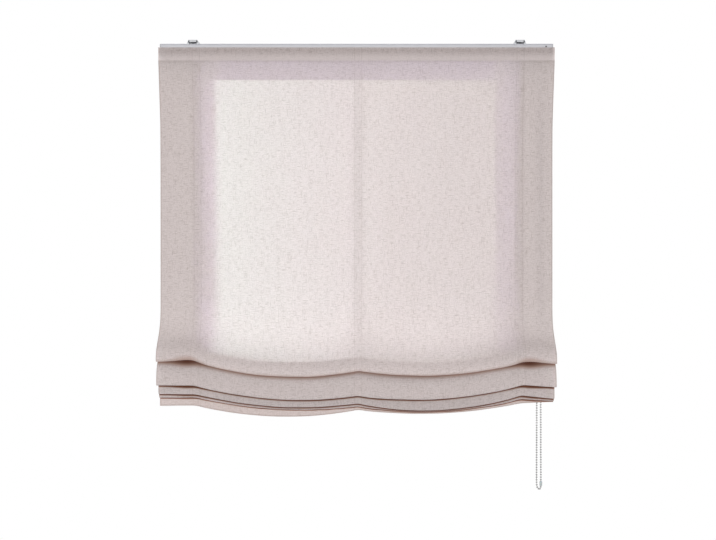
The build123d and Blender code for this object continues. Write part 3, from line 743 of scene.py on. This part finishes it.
dense = spline_weights(corner_count, 60)
plain_line = dense @ np.array(header_points + [
    (panel_y - fold_reach * reach, top_ring - stack_drop * drop) for reach, drop, row, weight in fold_points])
runs = np.hypot(*np.diff(plain_line, axis=0).T)
arc = np.concatenate([[0.0], np.cumsum(runs)])
flat_length = float(arc[-1])
print("flat length of the cloth", round(flat_length, 4), "m")

# %% [markdown]
# ## Linen finish
# Linen yarn is uneven: thick slubs run a centimetre or more along the weft and the warp, and between them
# the cloth is thin enough for daylight. The finish reads the cloth's flat cut from its UV map, so the
# threads follow every fold. More than half of the light is scattered back and the rest goes through, which a
# Translucent shader mixed into the Principled one gives. Rows of stitches hold the header turn and the
# tapes, and beside them the cloth is painted darker, a painted shade in the pucker. The turn lies double, so
# it looks paler against the rail. The hems let less light through, and their front colour is painted darker
# too, a painted shade. A vertex attribute tells where the cloth dives behind a fold's edge, and there the
# colour is painted warm and dark: a painted glow and a painted shade of the light lost between the layers.


# %% Stitches, slubs and creases
def stitch_rows(tree, uv_parts, rows):
    """The strongest of several stitch rows: (axis a row crosses, place on that axis, width of its thread)."""
    stitch, pucker_and_shade = 0.0, 0.0
    for axis, place, width in rows:
        row = use(tree, stitch_group, Across=calc(tree, "SUBTRACT", uv_parts[axis], place),
                  Along=uv_parts[1 - axis], Pitch=0.0042, Width=width)
        stitch = calc(tree, "MAXIMUM", row["Stitch"], stitch)
        pucker_and_shade = calc(tree, "MAXIMUM", row["Pucker"], pucker_and_shade)
    return stitch, pucker_and_shade


def own_slubs(tree, uv, threads, slub_length):
    """The weft and warp slubs of the Woven Threads group as own nodes, for the light that comes through."""
    along, fine = 1 / slub_length, slub_fineness * threads
    return [mottled(tree, add(tree, "ShaderNodeMapping", None, Vector=uv, Location=(0.0, 0.0, layer),
                              Scale=scale).outputs[0], *slub_noise)
            for scale, layer in (((along, fine, 1.0), weft_layer), ((fine, along, 1.0), warp_layer))]


def with_painted_crease_shading(tree, painted_crease_shading, tone, painted_warm_glow, painted_shade):
    """A tone at a crease, with painted light and shade: a painted warm glow at the edge and just inside, where
    layers lie close, and a painted shade in its depth.
    """
    painted_glow_share = calc(tree, "MAXIMUM", span(tree, painted_crease_shading, 0.0, 0.6), span(tree, painted_crease_shading, 0.0, -1.0, 0.0, 0.90))
    tone = tone_mix(tree, painted_glow_share, tone, painted_warm_glow)
    return tone_mix(tree, span(tree, painted_crease_shading, 0.5, 1.0, 0.0, 0.94), tone, painted_shade)


# %% Woven finish
through_share = 0.4
hem_width, side_hem_full, foot_hem_full = 0.0030, 0.0012, 0.0014
turn_head, turn_full, turn_foot, turn_end = 0.010, 0.024, 0.0305, 0.0325


def paler(colour, factor):
    return [min(1.0, factor * part) for part in colour]


def woven_finish(name, light, dark, painted_warm_glow, painted_shade, through, threads, slub_length, rows, edge):
    """A woven finish. Edge is half of the cut's width, where the turned hem makes the cloth denser: it lets
    less light through, and its front colour is painted darker as well, a painted shade.
    """
    made, tree, shader = new_finish(name)
    uv = flat_cut(tree)
    uv_parts = axes(tree, uv)
    weft_slub, warp_slub = own_slubs(tree, uv, threads, slub_length)
    slubs = calc(tree, "MAXIMUM", span(tree, weft_slub, 0.54, 0.74),
                 span(tree, warp_slub, 0.55, 0.76, 0.0, 0.8))
    grain = mottled(tree, uv, 360.0, 2.0, 0.6)
    # Painted shade: the side and foot hems are darker in the front colour as well as in the light they let
    # through.
    side_hem_and_shade = span(tree, calc(tree, "ABSOLUTE", uv_parts[0]), edge - hem_width, edge - side_hem_full,
                    0.0, 0.55)
    foot_hem_and_shade = span(tree, uv_parts[1], flat_length - hem_width, flat_length - foot_hem_full, 0.0, 0.75)
    yarn = tone_mix(tree, span(tree, grain, 0.36, 0.64, 0.27, 0.0), light, dark)
    yarn = tone_mix(tree, span(tree, weft_slub, 0.46, 0.28, 0.0, 0.3), yarn, paler(light, 1.16))
    yarn = tone_mix(tree, calc(tree, "MULTIPLY", slubs, 0.74), yarn, dark)
    yarn = tone_mix(tree, calc(tree, "MAXIMUM", side_hem_and_shade, foot_hem_and_shade), yarn, dark)
    # The attribute that places the painted shade and painted warm glow of the creases.
    painted_crease_shading = add(tree, "ShaderNodeAttribute", {"attribute_name": "painted_crease_shading"}).outputs["Fac"]

    weave = use(tree, weave_group, Vector=uv, Threads=threads, Slub_Length=slub_length)
    stitch, pucker_and_shade = stitch_rows(tree, uv_parts, rows)
    turned_in = calc(tree, "MULTIPLY", span(tree, uv_parts[1], turn_head, turn_full),
                     span(tree, uv_parts[1], turn_end, turn_foot))
    tone = tone_mix(tree, span(tree, weave["Cloud"], 0.3, 0.7, 0.05, 0.0), yarn, dark)
    tone = tone_mix(tree, calc(tree, "MULTIPLY", turned_in, 0.82), tone, paler(light, 1.3))
    # Painted shade: the cloth is darker in the pucker beside each seam.
    tone = tone_mix(tree, calc(tree, "MULTIPLY", pucker_and_shade, 0.48), tone, dark)
    tone = tone_mix(tree, calc(tree, "MULTIPLY", stitch, 0.2), tone, light)
    height = calc(tree, "ADD", calc(tree, "MULTIPLY", weave["Height"], 0.35), slubs)
    height = calc(tree, "SUBTRACT", calc(tree, "ADD", height, stitch), pucker_and_shade)
    normal = relief(tree, 0.35, 0.0003, height)
    # The front colour and the light that comes through both carry the painted shade and glow of the creases.
    fill(tree, shader, Base_Color=with_painted_crease_shading(tree, painted_crease_shading, tone, painted_warm_glow, painted_shade), Normal=normal, Sheen_Weight=0.08,
         Roughness=span(tree, slubs, 0.0, 1.0, 0.86, 0.72), Specular_IOR_Level=0.2)

    filtered = add(tree, "ShaderNodeMix", {"data_type": "RGBA", "blend_type": "MULTIPLY"}, i0=1.0,
                   i6=with_painted_crease_shading(tree, painted_crease_shading, yarn, painted_warm_glow, painted_shade), i7=through)
    glow = add(tree, "ShaderNodeBsdfTranslucent", None, Color=filtered.outputs[2], Normal=normal)
    both = add(tree, "ShaderNodeMixShader", None, i0=through_share, i1=shader.outputs[0], i2=glow.outputs[0])
    fill(tree, tree.nodes["Material Output"], Surface=both.outputs[0])
    return made


# %% Linen
header_row = (1, 0.0330, 0.0016)
tape_rows = [(0, x + edge, 0.0004) for x in tape_places.values() for edge in (-stitch_inset, stitch_inset)]
# The warm colour is a painted glow and the shade colour a painted shade, both laid on the creases.
linen = woven_finish(
    "sheer_linen", light=(0.692, 0.640, 0.638), dark=(0.38, 0.320, 0.300), painted_warm_glow=(0.40, 0.268, 0.218),
    painted_shade=(0.13, 0.050, 0.030), through=(1.0, 0.92, 0.885), threads=1400.0, slub_length=0.013,
    rows=tape_rows + [header_row], edge=cloth_width / 2)
print("finish", linen.name)

# %% Tape finish
tape_weave, tree, shader = new_finish("lift_tape_weave")
uv = flat_cut(tree)
uv_parts = axes(tree, uv)
weave = use(tree, weave_group, Vector=uv, Threads=1900.0, Slub_Length=0.012)
stitch, _ = stitch_rows(tree, uv_parts, [(0, -stitch_inset, 0.0007), (0, stitch_inset, 0.0007)])
# Painted shade: the tape's colour is darker where its weave lies low, between the threads.
tone = tone_mix(tree, weave["Height"], (0.74, 0.70, 0.69), (0.82, 0.79, 0.78))
selvage = span(tree, calc(tree, "ABSOLUTE", uv_parts[0]), 0.0084, 0.0090, 0.12, 0.42)
fill(tree, shader, Base_Color=tone_mix(tree, stitch, tone, (0.62, 0.56, 0.55)),
     Roughness=span(tree, weave["Cloud"], 0.3, 0.7, 0.6, 0.8),
     Normal=relief(tree, 0.3, 0.0002, calc(tree, "ADD", weave["Height"], stitch)),
     Alpha=calc(tree, "MAXIMUM", selvage, calc(tree, "MULTIPLY", stitch, 0.7)))
print("finish", tape_weave.name)

# %% [markdown]
# ## The cloth
# The sheet starts as a flat square grid, and its UV map keeps each vertex's place on the linen's flat cut.
# Then every vertex moves to its place on the spline: its column gives the place across the blind and its row
# the place along the line. Rows lie close together in the folds and further apart on the plain panel.

# %% Cloth rows and creases
panel_head, panel_foot = -0.07, -0.62
# Painted shade below each fold's edge, one row for each fold.
painted_crease_bands = [  # metres: full, fading, more of both beside the side tapes; then depth away from them
    (0.0022, 0.0080, 0.0050, 0.0052, 0.60), (0.0046, 0.0028, 0.0018, 0.0011, 1.0),
    (0.0026, 0.0022, 0.0010, 0.0009, 1.0), (0.0026, 0.0018, 0.0010, 0.0007, 1.0),
]
# Painted shade deeper inside a fold and on the rows rising behind its edge, a floor of painted shade on the
# hem, and a painted warm glow just above the first fold's edge.
inner_start, inner_fade, inner_loss = 0.004, 0.010, 0.85
back_level, back_rise, painted_hem_shade = 0.35, 0.005, 0.10
turn_in_level, turn_in_more = 0.45, 0.55
turn_in_height, turn_in_taller = 0.006, 0.008


def chosen_rows(fine, coarse):
    """Indices of the dense line that are a fine step apart in the folds and a coarse one on the panel."""
    z = plain_line[:-1, 1]
    step = np.where((z > panel_foot) & (z <= panel_head), coarse, fine)
    measure = np.concatenate([[0.0], np.cumsum(runs / step)])
    return np.searchsorted(measure, np.linspace(0.0, measure[-1], int(measure[-1]) + 1)).clip(0, len(arc) - 1)


def painted_crease_depth(line, x):
    """Painted shade: 1 where the line comes out below the edge of the fold in front, fading lower down and
    deeper inside. It is negative just above the first edge, where the cloth turns in and its layers lie close,
    and there it paints a warm glow."""
    z, pinch = line[:, 1], tape_pinch(x)
    depth = np.zeros(len(z))
    lows = [i for i in range(1, len(z) - 1) if z[i] < z[i - 1] and z[i] <= z[i + 1]]
    for count, low in enumerate(lows):
        end = lows[count + 1] if count + 1 < len(lows) else len(z)
        top = low + int(np.argmax(z[low:end]))
        above = z[low:end] - z[low]
        full, fade, more_full, more_fade, level = painted_crease_bands[min(count, len(painted_crease_bands) - 1)]
        inside = 1.0 - inner_loss * np.clip((above - inner_start) / inner_fade, 0.0, 1.0)
        below = (above + full + more_full * pinch) / (fade + more_fade * pinch)
        down = np.clip(below + 1.0, 0.0, 1.0) * inside
        down *= level + (1.0 - level) * pinch
        up = back_level * np.clip(above / back_rise, 0.0, 1.0)
        depth[low:end] = np.where(np.arange(low, end) < top, up, down)
        if count == 0:
            turn_in = np.clip(1.0 - (z[:low] - z[low]) / (turn_in_height + turn_in_taller * pinch), 0.0, 1.0)
            depth[:low] = -(turn_in_level + turn_in_more * pinch) * turn_in
        if end == len(z):
            depth[top:] = np.maximum(painted_hem_shade, down[top - low:])
    return depth


cloth_rows = chosen_rows(0.0019, 0.0080)
print("cloth rows", len(cloth_rows))

# %% Cloth
head_spread, waist, waist_head, waist_run = 1.002, 0.006, 0.05, 0.15


def draped(name, columns, rows, finish, node, set_back=0.0):
    """A grid whose columns (places across) and rows (places along the line) are laid on the cloth's line."""
    lines = []
    for x in columns:
        line = dense[rows] @ np.array(section_corners(x))
        if set_back:
            heading = np.gradient(line, axis=0)
            heading /= np.hypot(*heading.T)[:, None]
            line += set_back * np.column_stack([-heading[:, 1], heading[:, 0]])
        lines.append(np.column_stack([line, painted_crease_depth(line, x)]))
    across, down = len(columns) - 1, len(rows) - 1
    shape = bmesh.new()
    bmesh.ops.create_grid(shape, x_segments=across, y_segments=down, size=0.5)
    flat = shape.loops.layers.uv.new("flat_cut")
    # Each vertex keeps the painted shade and glow of its crease as an attribute.
    painted_crease_shading = shape.verts.layers.float.new("painted_crease_shading")
    middle = sum(columns) / len(columns) if set_back else 0.0

    def grid_place(vert):
        return round((vert.co.x + 0.5) * across), round((0.5 - vert.co.y) * down)

    for face in shape.faces:
        for loop in face.loops:
            column, row = grid_place(loop.vert)
            loop[flat].uv = (columns[column] - middle, arc[rows[row]])
    for vert in shape.verts:
        column, row = grid_place(vert)
        y, z, vert[painted_crease_shading] = lines[column][row]
        draw_in = head_spread - waist * min(1.0, max(0.0, (-z - waist_head) / waist_run))
        vert.co = (columns[column] * (1.0 if set_back else draw_in), y, z)
    return piece(name, shape, finish, "frame", (node,), tidy=False)


cloth_columns = list(np.linspace(-cloth_width / 2, cloth_width / 2, 160))
cloth = draped("linen_cloth", cloth_columns, cloth_rows, linen, "cloth")
print("cloth", len(cloth.data.polygons) * 2, "triangles")

# %% [markdown]
# ## Lift tapes
# Each tape is a narrow woven strip sewn down the cloth's back from the header's foot to the hem. It is
# draped on the same line and rows as the cloth, half a millimetre behind it, with five columns of its own.

# %% Lift tapes
tape_gap, tape_half = 0.00050, tape_width / 2
tape_cloth_rows = cloth_rows[int(np.searchsorted(arc[cloth_rows], tape_start)):]
for side, x in tape_places.items():
    tape_columns = list(np.linspace(x - tape_half, x + tape_half, 5))
    draped(f"{side}_lift_tape", tape_columns, tape_cloth_rows, tape_weave,
                         "tape_" + side, tape_gap)

# %% [markdown]
# ## Rings
# Small rings are sewn to the tapes, two on the hanging panel and four where the folds are drawn up, and the
# lift cord runs through all six. One ring is a rounded section spun round once, then copied to its places.
# Three turns of thread hold each ring to its tape. They are tiny rings too, spun round the wire of the large
# one.

# %% Rings
half_wire, turn_wire, turn_radius, turn_y = 0.0008, 0.00022, 0.00135, -0.0055
ring_section = [(-0.0004, 0.0040), (0.0004, 0.0040), (0.0008, 0.0044), (0.0008, 0.0056), (0.0004, 0.0060),
                (-0.0004, 0.0060), (-0.0008, 0.0056), (-0.0008, 0.0044)]
ring = bmesh.new()
lathe(ring, ring_section, 28)
stand(ring, ring.verts, pi / 2, "Y")
cleaned(ring)
ring_drops = [-0.400, -0.200] + [share * stack_drop for share in ring_shares]
ring_spots = [Vector((x, cord_y, top_ring - tape_drops[side] - drop - half_wire))
              for side, x in tape_places.items() for drop in ring_drops]
piece("sewn_rings", repeated(ring, [Matrix.Translation(spot) for spot in ring_spots]), ring_plastic, "frame",
      ("rings",), tidy=False, sharp_above=60.0)
thread_turn = bmesh.new()
lathe(thread_turn, [(turn_wire * cos(angle), turn_radius + turn_wire * sin(angle))
                    for angle in (0.0, pi / 2, pi, 3 * pi / 2)], 12)
cleaned(thread_turn)
turn_spots = [Matrix.Translation(spot + Vector((beside, turn_y, 0.0)))
              for spot in ring_spots for beside in (-0.0007, 0.0, 0.0007)]
piece("ring_sewing", repeated(thread_turn, turn_spots), cord_braid, "frame", tidy=False,
      sharp_above=120.0)
print("rings", len(ring_spots), "thread turns", len(turn_spots))

# %% [markdown]
# ## The lift line
# A square shaft turns three spools and the chain's sprocket. Spools and sprocket are moulded, so each is a
# profile spun round the shaft, with small rounds at its rims. The sprocket also has short ribs that steer
# the beads. The cord on each spool is a helix with twelve points to a turn, a little wider than the winding,
# because a spline of this order runs inside its points.

# %% Spools
spool_profile = [(-0.0250, 0.0026), (-0.0250, 0.0046), (-0.0246, 0.0050), (-0.0216, 0.0050),
                 (-0.0216, 0.0120), (-0.0212, 0.0124), (-0.0204, 0.0124), (-0.0200, 0.0120),
                 (-0.0200, 0.0096), (0.0030, 0.0096), (0.0030, 0.0120), (0.0034, 0.0124),
                 (0.0042, 0.0124), (0.0046, 0.0120), (0.0046, 0.0050), (0.0076, 0.0050),
                 (0.0080, 0.0046), (0.0080, 0.0026)]
spool = bmesh.new()
for x in tape_places.values():
    bmesh.ops.translate(spool, vec=(x, shaft_y, shaft_z), verts=lathe(spool, spool_profile, 40))
spools = piece("cord_spools", spool, spool_plastic, "lift_line", ("spools",),
               sharp_above=crisp)
print("spools", len(spools.data.polygons), "faces")

# %% Wound cord
wrap_turns, turn_points, wrap_pitch, wrap_start = 12, 12, 0.0014, 0.0016
wrap_radius, wrap_wire = 0.01035, 0.00068
outside = wrap_radius / (0.5 + 0.5 * cos(pi / turn_points) ** 2)
angles = [2 * pi * step / turn_points for step in range(turn_points * wrap_turns + 1)]
for side, x in tape_places.items():
    winding = [(x - wrap_start - wrap_pitch * (wrap_turns - 1) * angle / angles[-1],
                shaft_y - outside * cos(angle), shaft_z + outside * sin(angle)) for angle in angles]
    cord_piece(nurbs_route("wound_cord_" + side, winding, wrap_wire, 3), "lift_line", "cord_wraps")
print("windings", wrap_turns, "turns each")

# %% Sprocket
sprocket_x = 0.4400
rib_count, rib_x, rib_radius, rib_size = 12, 0.0032, 0.0104, (0.0008, 0.0014, 0.0032, 1.0)
half_profile = [(0.0087, 0.0026), (0.0087, 0.0046), (0.0083, 0.0050), (0.0050, 0.0050), (0.0050, 0.0121),
                (0.0046, 0.0126), (0.0039, 0.0126), (0.0035, 0.0121), (0.0035, 0.0088)]
sprocket = bmesh.new()
lathe(sprocket, half_profile + [(-along, radius) for along, radius in reversed(half_profile)], 48)
for count in range(rib_count):
    turned = Matrix.Rotation(2 * pi * (count + 0.5) / rib_count, 4, "X")
    for side in (-1, 1):
        rib_place = Matrix.Translation((side * rib_x, 0.0, rib_radius))
        bmesh.ops.create_cube(sprocket, size=1.0, matrix=turned @ rib_place @ Matrix.Diagonal(rib_size))
bmesh.ops.translate(sprocket, vec=(sprocket_x, shaft_y, shaft_z), verts=sprocket.verts)
bead_wheel = piece("bead_sprocket", sprocket, drive_plastic, "lift_line", ("sprocket",),
                   sharp_above=crisp)
print("sprocket", len(bead_wheel.data.polygons), "faces")

# %% [markdown]
# ## Rail, latches and drive
# These pieces have the right shape in the skeleton already, but most edges there are knife edges. Real
# extrusions, pressings and mouldings have small rounds that catch the light. A copy of each solid's mesh is
# merged, its flat faces are joined, and its sharp edges get a narrow bevel.


# %% Softened copies
def rounded(shape, edges, width):
    """Gives edges of a shape a narrow round."""
    bmesh.ops.bevel(shape, geom=edges, offset=width, offset_type="OFFSET", affect="EDGES", segments=2,
                    profile=0.5, material=-1, clamp_overlap=True)


def softened(node, width):
    """A bmesh copy of a solid's mesh with narrow rounds on its sharp edges."""
    shape = bmesh.new()
    shape.from_mesh(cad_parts[node].data)
    bmesh.ops.remove_doubles(shape, verts=shape.verts, dist=merge_distance)
    bmesh.ops.dissolve_limit(shape, angle_limit=radians(1.0), verts=shape.verts, edges=shape.edges)
    rounded(shape, [e for e in shape.edges if e.is_manifold and e.calc_face_angle() > radians(40)], width)
    return shape


soft_copies = [  # node, round in metres, finish, body, slot
    ("headrail", 0.00035, rail_paint, "frame", "rail_aluminium"),
    ("end_cap_left", 0.00045, cap_plastic, "frame", "cap_plastic"),
    ("end_cap_right", 0.00045, cap_plastic, "frame", "cap_plastic"),
    ("latch_left", 0.00030, zinc_steel, "latch_left", "bracket_steel"),
    ("latch_right", 0.00030, zinc_steel, "latch_right", "bracket_steel"),
    ("latch_pins", 0.00025, pin_steel, "frame", "pin_steel"),
    ("drive_shaft", 0.00040, shaft_metal, "lift_line", "shaft_aluminium"),
    ("drive_housing", 0.00040, drive_plastic, "frame", "drive_plastic"),
    ("drive_cover", 0.00040, drive_plastic, "frame", "drive_plastic"),
    ("cradles", 0.00035, drive_plastic, "frame", "drive_plastic"),
]
for node, width, finish, body, slot in soft_copies:
    made = piece("soft_" + node, softened(node, width), finish, body, (node,), sharp_above=crisp)
    print(node, len(made.data.polygons), "faces")

# %% [markdown]
# ## Brackets
# Each bracket is pressed from zinc plated sheet: a bridge over the rail with hooks in front and a latch
# behind. The bridge's front edge is turned down into a short lip that stiffens it, which the softened copy
# gets as a thin box.

# %% Brackets
bracket_x, bracket_round = 0.390, 0.00030
lip_y, lip_z, lip_size = -0.0228, -0.0032, (0.0168, 0.0012, 0.0044, 1.0)
bracket = softened("ceiling_brackets", bracket_round)
for x in (-bracket_x, bracket_x):
    lip = bmesh.ops.create_cube(bracket, size=1.0, matrix=Matrix.Translation((x, lip_y, lip_z))
                                @ Matrix.Diagonal(lip_size))["verts"]
    rounded(bracket, list({edge for vert in lip for edge in vert.link_edges}), bracket_round)
brackets = piece("pressed_brackets", bracket, zinc_steel, "frame", ("ceiling_brackets",),
                 sharp_above=crisp)
print("brackets", len(brackets.data.polygons), "faces")

# %% [markdown]
# ## Screws
# One dark screw holds the drive in the rail and shows as a dot beside the right end. Two more close the
# drive's cover, a little shorter. All have a low domed head with a recess, so one profile is spun for them.

# %% Screws
screw_profile = [(-0.0070, 0.0), (-0.0070, 0.0009), (-0.0064, 0.0012), (0.0, 0.0012), (0.0, 0.0017),
                 (0.0005, 0.0017), (0.0008, 0.0015), (0.0010, 0.0011), (0.0010, 0.0008), (0.0004, 0.0006),
                 (0.0004, 0.0)]
drive_screw_place, cover_screw_length = (0.4520, -0.0220, -0.0156), 0.9
black_steel = metal_finish("blackened_steel", (0.085, 0.085, 0.09), (0.06, 0.06, 0.065), 0.40, 2400.0)
drive_screw = bmesh.new()
stand(drive_screw, lathe(drive_screw, screw_profile, 20, closed=False), -pi / 2, "Z", drive_screw_place)
piece("drive_fixing_screw", drive_screw, black_steel, "frame", ("drive_screw",),
      sharp_above=crisp)
cover_screws = bmesh.new()
cover_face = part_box("drive_cover")[0].x
cover_profile = [(along * cover_screw_length, radius) for along, radius in screw_profile]
for y, z in ((-0.0160, -0.0190), (-0.0160, -0.0400)):
    stand(cover_screws, lathe(cover_screws, cover_profile, 20, closed=False), pi, "Z", (cover_face, y, z))
piece("cover_screws", cover_screws, pin_steel, "frame", sharp_above=crisp)
print("screws 3")

# %% [markdown]
# ## Gripping strips
# The cloth is held to the rail by a strip of hooks on the rail and a strip of loops sewn to the cloth's
# back. Both are woven tapes with a fuzzy face. Seen from above or below only their edges show, so softened
# copies with a woven finish are enough. The finish reads Object coordinates, turned so that the weave lies
# in the strip's face.

# %% Gripping strips
strip_round = 0.00020
strip_weave, tree, shader = new_finish("gripping_strip_weave")
turned = add(tree, "ShaderNodeMapping", None, Vector=object_place(tree),
             Rotation=(pi / 2, 0.0, 0.0)).outputs[0]
weave = use(tree, weave_group, Vector=turned, Threads=900.0, Slub_Length=0.004)
pile = span(tree, weave["Weft Slub"], 0.35, 0.65)
fill(tree, shader, Base_Color=tone_mix(tree, pile, (0.70, 0.69, 0.67), (0.84, 0.83, 0.81)),
     Roughness=span(tree, weave["Cloud"], 0.3, 0.7, 0.8, 0.95), Sheen_Weight=0.3,
     Normal=relief(tree, 0.8, 0.0004, calc(tree, "ADD", weave["Height"], weave["Warp Slub"])))
for node in ("hook_strip", "loop_strip"):
    piece("soft_" + node, softened(node, strip_round), strip_weave, "frame", (node,),
          sharp_above=crisp)
print("strips made")
